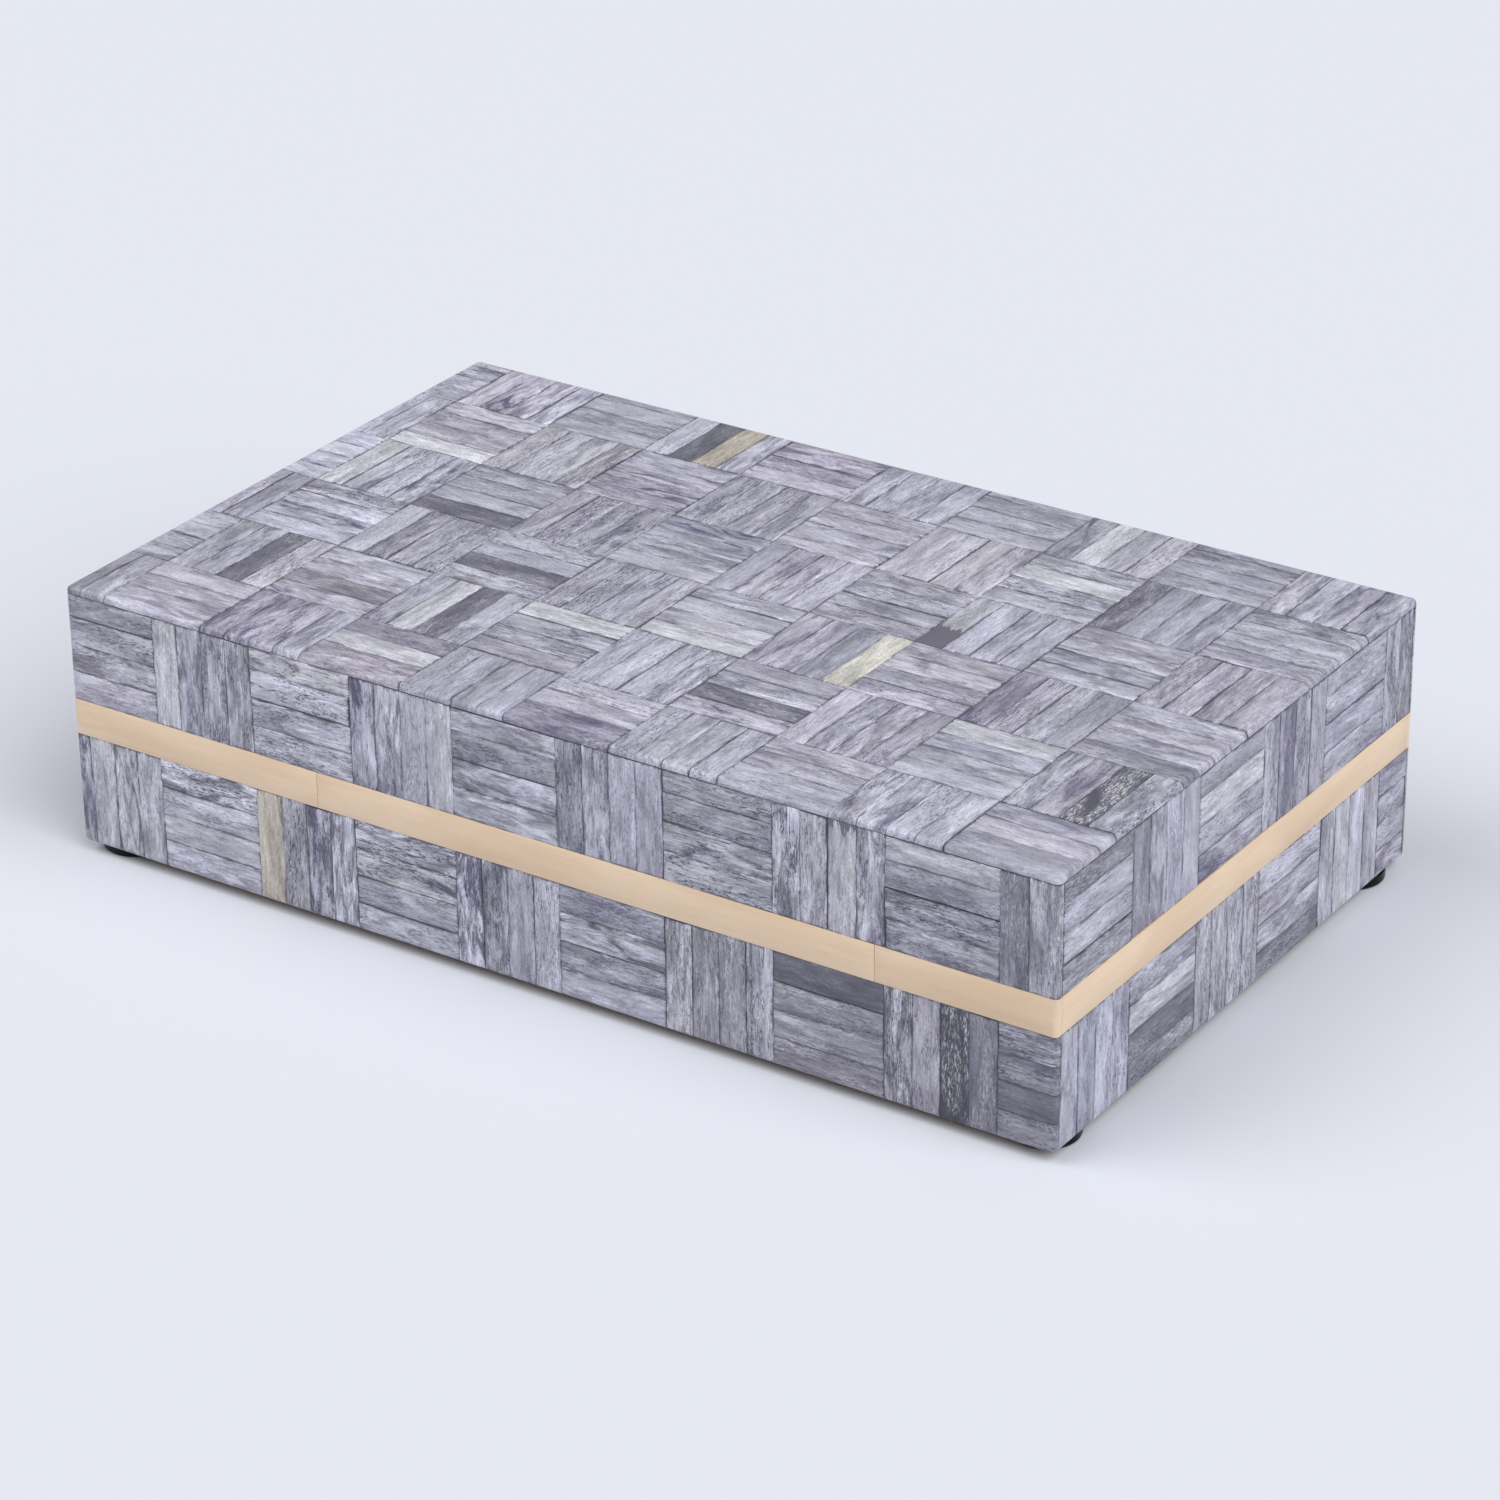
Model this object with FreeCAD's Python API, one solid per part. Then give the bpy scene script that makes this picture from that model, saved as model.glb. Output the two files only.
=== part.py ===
import FreeCAD, Part
import os

from FreeCAD import Vector

# Inlaid box with a hinged lid, in millimetres.
# X runs along the length, -Y is the front, +Y the hinge side, +Z is up.
# The origin is on the surface the feet stand on, under the middle of the box.

LENGTH = 254.0            # outside length of the inlaid body
WIDTH = 154.0             # outside depth of the inlaid body
FOOT_HEIGHT = 2.6
BASE_INLAY_HEIGHT = 27.2  # inlaid part of the base, below the wooden band
BAND_HEIGHT = 8.7
PARTING_GAP = 0.2         # air between band and closed lid
LID_HEIGHT = 27.3

INLAY = 2.0               # whole inlay layer: bone strips in a bed of dark filler
BED = 0.4                 # filler behind the strips
JOINT = 0.4               # filler between strips
FILLER_DROP = 0.12        # filler lies this far below the face of the bone
STRIPS = 4                # strips in a woven block
MODULE = 27.0             # width of a block
END_MODULE = 27.5         # blocks are a little wider on the two ends
TOP_FIRST_COLUMN = 11.0   # cut blocks at the left and front edges of the lid's top
TOP_FIRST_ROW = 22.2
FRONT_FIRST_COLUMN = 24.4
END_FIRST_COLUMN = 27.3
MIN_STRIP = 3.0           # narrower remainders join the strip beside them
EDGE_EASE = 1.3           # eased outside edges of the inlay

BOARD = 7.0               # carcass walls
FLOOR = 5.0               # carcass floor and lid panel
LINING = 1.5              # velvet on thin padded card
RIM_REVEAL = 1.5          # bare wood left above the wall linings

FOOT_RADIUS = 7.5
FOOT_EASE = 0.8
FOOT_CENTRES = {           # the feet are stuck on by hand, not quite square to the box
    "foot_front_left": (-119.4, -67.8),
    "foot_front_right": (118.5, -65.8),
    "foot_back_left": (-119.0, 66.5),
    "foot_back_right": (119.4, 66.2),
}

BAND_JOINT_LEFT = 68.4    # butt joints of the front band, from its left end
BAND_JOINT_RIGHT = 211.0

HINGE_X = 78.0            # hinge centres, left and right of the middle
LEAF_LENGTH = 26.0
LEAF_DEPTH = 8.0
LEAF = 0.8                # leaf thickness
KNUCKLE_RADIUS = 1.2
BORE_RADIUS = 0.6
PIN_RADIUS = 0.55
PIN_OFFSET = 1.5          # pin axis behind the back face
KNUCKLE_SPLIT = 8.0       # length of each outer knuckle
KNUCKLE_GAP = 0.25
STOP_ANGLE = 63.5         # stop tabs above and below the horizontal
STOP_REACH = 2.0
STOP_THICK = 0.6
STOP_CLEAR = 1.35         # inner radius of the tab that bridges the lid knuckle
SCREW_SPACING = 8.5
SCREW_RADIUS = 0.8
SCREW_HOLE_RADIUS = 0.82
SCREW_HEAD_RADIUS = 1.5
SCREW_LENGTH = 5.0

# Worked-out levels and planes
X1 = LENGTH / 2
Y1 = WIDTH / 2
Z_UNDER = FOOT_HEIGHT
Z_BAND = Z_UNDER + BASE_INLAY_HEIGHT
Z_RIM = Z_BAND + BAND_HEIGHT
Z_PIN = Z_RIM + PARTING_GAP / 2
Z_LID = Z_RIM + PARTING_GAP
Z_TOP = Z_LID + LID_HEIGHT
XC = X1 - INLAY           # carcass, outside faces
YC = Y1 - INLAY
XI = XC - BOARD           # carcass, inside faces
YI = YC - BOARD
Y_PIN = Y1 + PIN_OFFSET
Z_LID_PANEL = Z_TOP - INLAY - FLOOR


def block(x0, x1, y0, y1, z0, z1):
    return Part.makeBox(x1 - x0, y1 - y0, z1 - z0, Vector(x0, y0, z0))


def export(name, solids):
    """Write one node: a single solid, or a group of separate ones."""
    shape = solids[0] if len(solids) == 1 else Part.makeCompound(solids)
    shape.exportStep("parts/" + name + ".step")
    print(name, len(shape.Solids), "solids,", round(shape.Volume), "mm3", shape.isValid())


def eased_body(z0, z1, ease_top, inset):
    """Outside form of the base or the lid: upright edges eased, and those round one end."""
    body = block(-X1 + inset, X1 - inset, -Y1 + inset, Y1 - inset, z0, z1)
    eased_end = z1 if ease_top else z0
    edges = []
    for edge in body.Edges:
        box = edge.BoundBox
        upright = box.ZLength > 1
        round_the_end = abs(box.ZMin - eased_end) < 0.01 and abs(box.ZMax - eased_end) < 0.01
        if upright or round_the_end:
            edges.append(edge)
    return body.makeChamfer(EDGE_EASE, edges)


def base_form(inset=0.0):
    return eased_body(Z_UNDER + inset, Z_RIM, False, inset)


def lid_form(inset=0.0):
    return eased_body(Z_LID, Z_TOP - inset, True, inset)


# ---- inlay -----------------------------------------------------------------

def cuts(first, module, end):
    """Block edges along one direction of a face, from 0 to end."""
    edges = [0.0]
    edge = first
    while edge < end - MIN_STRIP:
        edges.append(edge)
        edge += module
    edges.append(end)
    return edges


def strip_spans(low, high, pitch, from_high):
    """Split a block's width into strips of one pitch; a narrow remainder joins its neighbour."""
    spans = []
    if from_high:
        stop = high
        while stop > low + 0.01:
            start = stop - pitch if stop - pitch > low + MIN_STRIP else low
            spans.append((start, stop))
            stop = start
    else:
        start = low
        while start < high - 0.01:
            stop = start + pitch if start + pitch < high - MIN_STRIP else high
            spans.append((start, stop))
            start = stop
    return spans


def woven(u_cuts, v_cuts, u_pitch, v_pitch, along_first, v_from_high):
    """Basket weave: blocks whose strips run alternately along u and along v.

    Returns the strips as (u0, u1, v0, v1). along_first says whether the block at
    the low corner has its strips along u.
    """
    strips = []
    for row in range(len(v_cuts) - 1):
        v0, v1 = v_cuts[row], v_cuts[row + 1]
        for column in range(len(u_cuts) - 1):
            u0, u1 = u_cuts[column], u_cuts[column + 1]
            along_u = along_first == ((row + column) % 2 == 0)
            if along_u:
                high = v_from_high or row == 0 and len(v_cuts) > 2
                for a, b in strip_spans(v0, v1, v_pitch, high):
                    strips.append((u0, u1, a, b))
            else:
                for a, b in strip_spans(u0, u1, u_pitch, column == 0):
                    strips.append((a, b, v0, v1))
    return strips


def shrink(strip, u_end, v_end, joint_above):
    """Leave half a joint on every side that meets another strip, or the band above."""
    u0, u1, v0, v1 = strip
    half = JOINT / 2
    u0 += half if u0 > 0.01 else 0.0
    v0 += half if v0 > 0.01 else 0.0
    u1 -= half if u1 < u_end - 0.01 else 0.0
    v1 -= half if v1 < v_end - 0.01 or joint_above else 0.0
    return u0, u1, v0, v1


def inlay(name, strips, u_end, v_end, place, form, filler_form, joint_above, notches):
    """Bone strips of one face and the filler they lie in, fitted to the outside form.

    place(u0, u1, v0, v1, depth) gives the block of that patch, depth inward from the face.
    """
    tiles = []
    for strip in strips:
        u0, u1, v0, v1 = shrink(strip, u_end, v_end, joint_above)
        tile = place(u0, u1, v0, v1, INLAY - BED)
        on_edge = u0 < 0.01 or v0 < 0.01 or u1 > u_end - 0.01 or v1 > v_end - 0.01
        if on_edge:
            tile = tile.common(form)
        for notch in notches:
            if tile.BoundBox.intersect(notch.BoundBox):
                tile = tile.cut(notch)
        tiles.extend(tile.Solids)
    filler = place(0, u_end, 0, v_end, INLAY).common(filler_form)
    filler = filler.cut(Part.makeCompound(tiles + notches))
    export(name + "_tiles", tiles)
    export(name + "_filler", filler.Solids)


def side_places(z0):
    """How each upright face lies, for a layer that starts at z0: its length and block maker."""
    def front(u0, u1, v0, v1, depth):
        return block(-X1 + u0, -X1 + u1, -Y1, -Y1 + depth, z0 + v0, z0 + v1)

    def back(u0, u1, v0, v1, depth):
        return block(X1 - u1, X1 - u0, Y1 - depth, Y1, z0 + v0, z0 + v1)

    def right(u0, u1, v0, v1, depth):
        return block(X1 - depth, X1, -YC + u0, -YC + u1, z0 + v0, z0 + v1)

    def left(u0, u1, v0, v1, depth):
        return block(-X1, -X1 + depth, YC - u1, YC - u0, z0 + v0, z0 + v1)

    return {"front": (LENGTH, front), "back": (LENGTH, back),
            "right": (2 * YC, right), "left": (2 * YC, left)}


def side_inlays(part_name, z0, z1, form, filler_form, lid, notches):
    """The four upright inlaid faces of the base or of the lid."""
    height = z1 - z0
    for face, (length, place) in side_places(z0).items():
        if face in ("front", "back"):
            u_cuts = cuts(FRONT_FIRST_COLUMN, MODULE, length)
            pitch = MODULE / STRIPS
        else:
            u_cuts = cuts(END_FIRST_COLUMN, END_MODULE, length)
            pitch = END_MODULE / STRIPS
        strips = woven(u_cuts, [0.0, height], pitch, MODULE / STRIPS, lid, not lid)
        face_notches = notches if face == "back" else []
        inlay(part_name + "_" + face, strips, length, height, place, form, filler_form,
              not lid, face_notches)


def top_inlay(form, filler_form):
    def top(u0, u1, v0, v1, depth):
        return block(-X1 + u0, -X1 + u1, -Y1 + v0, -Y1 + v1, Z_TOP - depth, Z_TOP)

    u_cuts = cuts(TOP_FIRST_COLUMN, MODULE, LENGTH)
    v_cuts = cuts(TOP_FIRST_ROW, MODULE, WIDTH)
    pitch = MODULE / STRIPS
    strips = woven(u_cuts, v_cuts, pitch, pitch, False, False)
    inlay("lid_top", strips, LENGTH, WIDTH, top, form, filler_form, False, [])


# ---- wood ------------------------------------------------------------------

def walls(part_name, z0, z1, notches):
    """Carcass walls: front and back run through, the ends stand between them."""
    spans = {
        "front": (-XC, XC, -YC, -YI),
        "back": (-XC, XC, YI, YC),
        "left": (-XC, -XI, -YI, YI),
        "right": (XI, XC, -YI, YI),
    }
    for face, (x0, x1, y0, y1) in spans.items():
        board = block(x0, x1, y0, y1, z0, z1)
        for notch in notches:
            board = board.cut(notch)
        export(part_name + "_" + face + "_board", [board])


def band(form, notches):
    """Wooden band round the top of the base, flush with the inlay."""
    joints = [0.0, BAND_JOINT_LEFT, BAND_JOINT_RIGHT, LENGTH]
    names = ["band_front_left", "band_front_middle", "band_front_right"]
    pieces = {}
    for name, start, stop in zip(names, joints, joints[1:]):
        pieces[name] = block(-X1 + start, -X1 + stop, -Y1, -YC, Z_BAND, Z_RIM)
    pieces["band_back"] = block(-X1, X1, YC, Y1, Z_BAND, Z_RIM)
    pieces["band_left"] = block(-X1, -XC, -YC, YC, Z_BAND, Z_RIM)
    pieces["band_right"] = block(XC, X1, -YC, YC, Z_BAND, Z_RIM)
    for name, piece in pieces.items():
        piece = piece.common(form)
        for notch in notches:
            piece = piece.cut(notch)
        export(name, piece.Solids)


def panels():
    export("base_floor_panel", [block(-XC, XC, -YC, YC, Z_UNDER, Z_UNDER + FLOOR)])
    export("lid_top_board", [block(-XC, XC, -YC, YC, Z_LID_PANEL, Z_LID_PANEL + FLOOR)])


# ---- lining ----------------------------------------------------------------

def lining(part_name, flat_name, z_flat, z_wall_low, z_wall_high):
    """Velvet panels: one on the floor or ceiling, four on the walls."""
    export(part_name + "_" + flat_name + "_lining",
           [block(-XI, XI, -YI, YI, z_flat, z_flat + LINING)])
    spans = {
        "front": (-XI, XI, -YI, -YI + LINING),
        "back": (-XI, XI, YI - LINING, YI),
        "left": (-XI, -XI + LINING, -YI + LINING, YI - LINING),
        "right": (XI - LINING, XI, -YI + LINING, YI - LINING),
    }
    for face, (x0, x1, y0, y1) in spans.items():
        export(part_name + "_" + face + "_lining", [block(x0, x1, y0, y1, z_wall_low, z_wall_high)])


# ---- feet ------------------------------------------------------------------

def feet():
    for name, (x, y) in FOOT_CENTRES.items():
        foot = Part.makeCylinder(FOOT_RADIUS, FOOT_HEIGHT, Vector(x, y, 0))
        rim = [edge for edge in foot.Edges if edge.BoundBox.ZMax < 0.01]
        export(name, [foot.makeFillet(FOOT_EASE, rim)])


# ---- hinges ----------------------------------------------------------------

def rod(x0, x1, radius):
    return Part.makeCylinder(radius, x1 - x0, Vector(x0, Y_PIN, Z_PIN), Vector(1, 0, 0))


def stop_tab(x0, x1, inner, angle):
    """Small radial tab on the knuckles; the two of a hinge meet when the lid is open."""
    tab = block(x0, x1, inner, STOP_REACH, -STOP_THICK / 2, STOP_THICK / 2)
    tab.rotate(Vector(0, 0, 0), Vector(1, 0, 0), angle)
    tab.translate(Vector(0, Y_PIN, Z_PIN))
    return tab


def leaf_plate(x0, x1, knuckle_spans, z0):
    """Flat leaf, cut back from the pin except where its own knuckles are."""
    clear = KNUCKLE_RADIUS + KNUCKLE_GAP
    plate = block(x0, x1, Y1 - LEAF_DEPTH, Y_PIN - clear, z0, z0 + LEAF)
    for a, b in knuckle_spans:
        plate = plate.fuse(block(a, b, Y_PIN - clear, Y_PIN, z0, z0 + LEAF))
        plate = plate.fuse(rod(a, b, KNUCKLE_RADIUS))
    return plate


def screw_places(x_centre):
    return [(x_centre + side * SCREW_SPACING, Y1 - 0.55 * LEAF_DEPTH) for side in (-1, 0, 1)]


def screw(x, y, z_face, down):
    """Countersunk wood screw: its head flush with the leaf, its shank in the wood."""
    way = -1 if down else 1
    axis = Vector(0, 0, way)
    start = Vector(x, y, z_face)
    head = Part.makeCone(SCREW_HEAD_RADIUS, SCREW_RADIUS, LEAF, start, axis)
    shank = Part.makeCylinder(SCREW_RADIUS, SCREW_LENGTH, Vector(x, y, z_face + way * LEAF), axis)
    slot_half = 0.15
    slot_top = z_face - way * 0.1
    slot_floor = z_face + way * 0.3
    slot = block(x - SCREW_HEAD_RADIUS, x + SCREW_HEAD_RADIUS, y - slot_half, y + slot_half,
                 min(slot_top, slot_floor), max(slot_top, slot_floor))
    return head.fuse(shank).removeSplitter(), slot


def hinge(side_name, x_centre):
    """Brass butt hinge with a stop: two leaves and a pin. Returns the screws of both leaves."""
    x0 = x_centre - LEAF_LENGTH / 2
    x1 = x_centre + LEAF_LENGTH / 2
    low_spans = [(x0, x0 + KNUCKLE_SPLIT), (x1 - KNUCKLE_SPLIT, x1)]
    lid_span = (x0 + KNUCKLE_SPLIT + KNUCKLE_GAP, x1 - KNUCKLE_SPLIT - KNUCKLE_GAP)

    base_leaf = leaf_plate(x0, x1, low_spans, Z_PIN - LEAF)
    for a, b in low_spans:
        base_leaf = base_leaf.fuse(stop_tab(a, b, BORE_RADIUS + 0.2, -STOP_ANGLE))
    base_leaf = base_leaf.fuse(stop_tab(x0, x1, STOP_CLEAR, -STOP_ANGLE))
    lid_leaf = leaf_plate(x0, x1, [lid_span], Z_PIN)
    lid_leaf = lid_leaf.fuse(stop_tab(lid_span[0], lid_span[1], BORE_RADIUS + 0.2, STOP_ANGLE))

    bore = rod(x0 - 1, x1 + 1, BORE_RADIUS)
    base_leaf = base_leaf.cut(bore)
    lid_leaf = lid_leaf.cut(bore)
    base_screws = []
    lid_screws = []
    for x, y in screw_places(x_centre):
        body, slot = screw(x, y, Z_PIN, True)
        base_leaf = base_leaf.cut(body)
        base_screws.append(body.cut(slot))
        body, slot = screw(x, y, Z_PIN, False)
        lid_leaf = lid_leaf.cut(body)
        lid_screws.append(body.cut(slot))
    export("hinge_" + side_name + "_base_leaf", [base_leaf.removeSplitter()])
    export("hinge_" + side_name + "_lid_leaf", [lid_leaf.removeSplitter()])
    export("hinge_" + side_name + "_pin", [rod(x0, x1, PIN_RADIUS)])
    return base_screws, lid_screws


def leaf_recess(x_centre, z_low, z_high):
    half = LEAF_LENGTH / 2 + 0.1
    return block(x_centre - half, x_centre + half, Y1 - LEAF_DEPTH - 0.1, Y1 + 1, z_low, z_high)


def screw_holes(x_centre, z_face, down):
    way = -1 if down else 1
    holes = []
    for x, y in screw_places(x_centre):
        start = Vector(x, y, z_face + way * LEAF / 2)
        holes.append(Part.makeCylinder(SCREW_HOLE_RADIUS, SCREW_LENGTH + LEAF / 2, start,
                                      Vector(0, 0, way)))
    return holes


def build():
    os.makedirs("parts", exist_ok=True)
    hinge_centres = {"left": -HINGE_X, "right": HINGE_X}
    base_recesses = [leaf_recess(x, Z_PIN - LEAF, Z_RIM + 1) for x in hinge_centres.values()]
    lid_recesses = [leaf_recess(x, Z_LID - 1, Z_PIN + LEAF) for x in hinge_centres.values()]
    base_holes = []
    lid_holes = []
    for x in hinge_centres.values():
        base_holes += screw_holes(x, Z_PIN, True)
        lid_holes += screw_holes(x, Z_PIN, False)

    panels()
    walls("base", Z_UNDER + FLOOR, Z_RIM, base_recesses + base_holes)
    walls("lid", Z_LID, Z_LID_PANEL, lid_recesses + lid_holes)
    band(base_form(), base_recesses)
    side_inlays("base", Z_UNDER, Z_BAND, base_form(), base_form(FILLER_DROP), False, [])
    side_inlays("lid", Z_LID, Z_TOP - INLAY, lid_form(), lid_form(FILLER_DROP), True, lid_recesses)
    top_inlay(lid_form(), lid_form(FILLER_DROP))
    lining("base", "floor", Z_UNDER + FLOOR, Z_UNDER + FLOOR + LINING, Z_RIM - RIM_REVEAL)
    lining("lid", "top", Z_LID_PANEL - LINING, Z_LID + RIM_REVEAL, Z_LID_PANEL - LINING)
    feet()
    base_screws = []
    lid_screws = []
    for name, x in hinge_centres.items():
        base_part, lid_part = hinge(name, x)
        base_screws += base_part
        lid_screws += lid_part
    export("hinge_base_screws", base_screws)
    export("hinge_lid_screws", lid_screws)


build()
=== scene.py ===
import math
import random

import bmesh
import bpy
from mathutils import Matrix, Vector, noise
from mathutils.bvhtree import BVHTree
from mathutils.interpolate import poly_3d_calc


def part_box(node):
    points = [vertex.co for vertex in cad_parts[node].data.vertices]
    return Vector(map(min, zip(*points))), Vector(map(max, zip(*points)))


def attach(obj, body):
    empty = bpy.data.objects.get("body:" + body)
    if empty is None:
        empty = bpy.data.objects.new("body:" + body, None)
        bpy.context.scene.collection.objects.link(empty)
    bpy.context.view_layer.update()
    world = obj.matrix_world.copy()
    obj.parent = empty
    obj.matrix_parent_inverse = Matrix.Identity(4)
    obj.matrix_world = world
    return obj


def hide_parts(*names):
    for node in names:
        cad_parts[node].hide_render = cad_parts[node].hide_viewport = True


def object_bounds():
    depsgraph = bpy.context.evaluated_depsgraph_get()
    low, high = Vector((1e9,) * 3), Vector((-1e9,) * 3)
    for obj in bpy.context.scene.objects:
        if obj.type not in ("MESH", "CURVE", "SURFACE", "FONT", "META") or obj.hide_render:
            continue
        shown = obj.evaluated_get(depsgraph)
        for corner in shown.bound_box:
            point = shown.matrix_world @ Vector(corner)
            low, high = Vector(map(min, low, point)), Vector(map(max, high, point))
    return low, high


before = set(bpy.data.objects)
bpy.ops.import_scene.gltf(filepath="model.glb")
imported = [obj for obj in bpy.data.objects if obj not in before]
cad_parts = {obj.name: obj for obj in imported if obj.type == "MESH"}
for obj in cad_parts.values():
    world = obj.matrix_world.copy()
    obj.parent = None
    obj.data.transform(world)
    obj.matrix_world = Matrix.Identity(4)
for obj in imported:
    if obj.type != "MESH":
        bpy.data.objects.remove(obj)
cad_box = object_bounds()

MM = 0.001

# The outside form and the strips.
CORNER = 1.3 * MM          # radius of the worn corners of the inlay
EASE = 0.07 * MM           # tiny rounding of a strip along its joints
EASE_DROPS = (0.9, 0.3)    # how far the outermost two mesh lines sink, as shares of EASE
JOINT_HALF = 0.2 * MM      # half of the gap that the frame leaves between strips
MESH_STEP = 4.5 * MM       # usual distance between mesh lines on a strip
NO_JOINT = 9.0             # distance to a joint, in millimetres, where a side has none
NO_CHIP = 99.0             # the same for a filled chip
SAME_PLACE = 0.05 * MM     # two places closer than this are one

# The seats of the hinge leaves, cut right through the outside of the back wall.
LEAF = 0.8 * MM            # thickness of a hinge leaf
SEAT_EASE = 0.1 * MM       # room left at each end of a leaf
SEAT_INSIDE, SEAT_OUTSIDE = 60 * MM, 90 * MM

# The velvet panels, in millimetres: the width of the rolled edge and its mesh lines.
ROLL = 2.1
ROLL_LINES = [0.0, 0.1, 0.3, 0.6, 1.0, 1.5, ROLL]
WAIST = 0.08 * MM          # how far the sides of a panel pull in

# The view: lens in millimetres, distance and aim in lengths of the box.
LENS = 122.6
VIEW_DISTANCE = 4.4676
VIEW_AIM = (0.01165, -0.0014, 0.1)


# ---------------------------------------------------------------- node graphs

class Graph:
    """A material and short calls that add nodes to it."""

    def __init__(self, name):
        self.material = bpy.data.materials.new(name)
        self.material.use_nodes = True
        self.tree = self.material.node_tree
        self.tree.nodes.clear()
        self.shader = self.tree.nodes.new("ShaderNodeBsdfPrincipled")
        output = self.tree.nodes.new("ShaderNodeOutputMaterial")
        self.tree.links.new(self.shader.outputs[0], output.inputs["Surface"])

    def put(self, socket, value):
        if isinstance(value, bpy.types.NodeSocket):
            self.tree.links.new(value, socket)
        else:
            socket.default_value = value

    def finish(self, **inputs):
        for name, value in inputs.items():
            self.put(self.shader.inputs[name.replace("_", " ")], value)
        return self.material

    def attribute(self, name, output="Vector"):
        node = self.tree.nodes.new("ShaderNodeAttribute")
        node.attribute_name = name
        return node.outputs[output]

    def math(self, operation, *values, clamp=False):
        node = self.tree.nodes.new("ShaderNodeMath")
        node.operation = operation
        node.use_clamp = clamp
        for socket, value in zip(node.inputs, values):
            self.put(socket, value)
        return node.outputs[0]

    def scale(self, vector, factors, offset=(0, 0, 0)):
        node = self.tree.nodes.new("ShaderNodeVectorMath")
        node.operation = "MULTIPLY_ADD"
        self.put(node.inputs[0], vector)
        node.inputs[1].default_value = factors
        node.inputs[2].default_value = offset
        return node.outputs[0]

    def split(self, vector):
        node = self.tree.nodes.new("ShaderNodeSeparateXYZ")
        self.put(node.inputs[0], vector)
        return node.outputs

    def noise(self, vector, factors, detail=4.0, roughness=0.6, distortion=0.0, offset=(0, 0, 0)):
        node = self.tree.nodes.new("ShaderNodeTexNoise")
        self.put(node.inputs["Vector"], self.scale(vector, factors, offset))
        node.inputs["Scale"].default_value = 1.0
        node.inputs["Detail"].default_value = detail
        node.inputs["Roughness"].default_value = roughness
        node.inputs["Distortion"].default_value = distortion
        return node.outputs["Fac"]

    def spread(self, value, low, high, to_low=0.0, to_high=1.0):
        """Smoothly map low..high to to_low..to_high, and hold it there outside."""
        node = self.tree.nodes.new("ShaderNodeMapRange")
        node.interpolation_type = "SMOOTHSTEP"
        self.put(node.inputs["Value"], value)
        for name, number in (("From Min", low), ("From Max", high),
                             ("To Min", to_low), ("To Max", to_high)):
            node.inputs[name].default_value = number
        return node.outputs["Result"]

    def mix(self, factor, a, b, blend="MIX"):
        node = self.tree.nodes.new("ShaderNodeMix")
        node.data_type = "RGBA"
        node.blend_type = blend
        self.put(node.inputs[0], factor)
        for socket, value in ((node.inputs[6], a), (node.inputs[7], b)):
            self.put(socket, tuple(value) + (1.0,) if isinstance(value, tuple) else value)
        return node.outputs[2]

    def shade(self, colour, factor):
        """Colour times a number."""
        node = self.tree.nodes.new("ShaderNodeVectorMath")
        node.operation = "SCALE"
        self.put(node.inputs[0], colour)
        self.put(node.inputs["Scale"], factor)
        return node.outputs[0]

    def bump(self, height, strength, distance, normal=None):
        node = self.tree.nodes.new("ShaderNodeBump")
        node.inputs["Strength"].default_value = strength
        node.inputs["Distance"].default_value = distance
        self.put(node.inputs["Height"], height)
        if normal is not None:
            self.put(node.inputs["Normal"], normal)
        return node.outputs[0]


def object_space(graph):
    return graph.tree.nodes.new("ShaderNodeTexCoord").outputs["Object"]


# ------------------------------------------------------------------ materials

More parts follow.
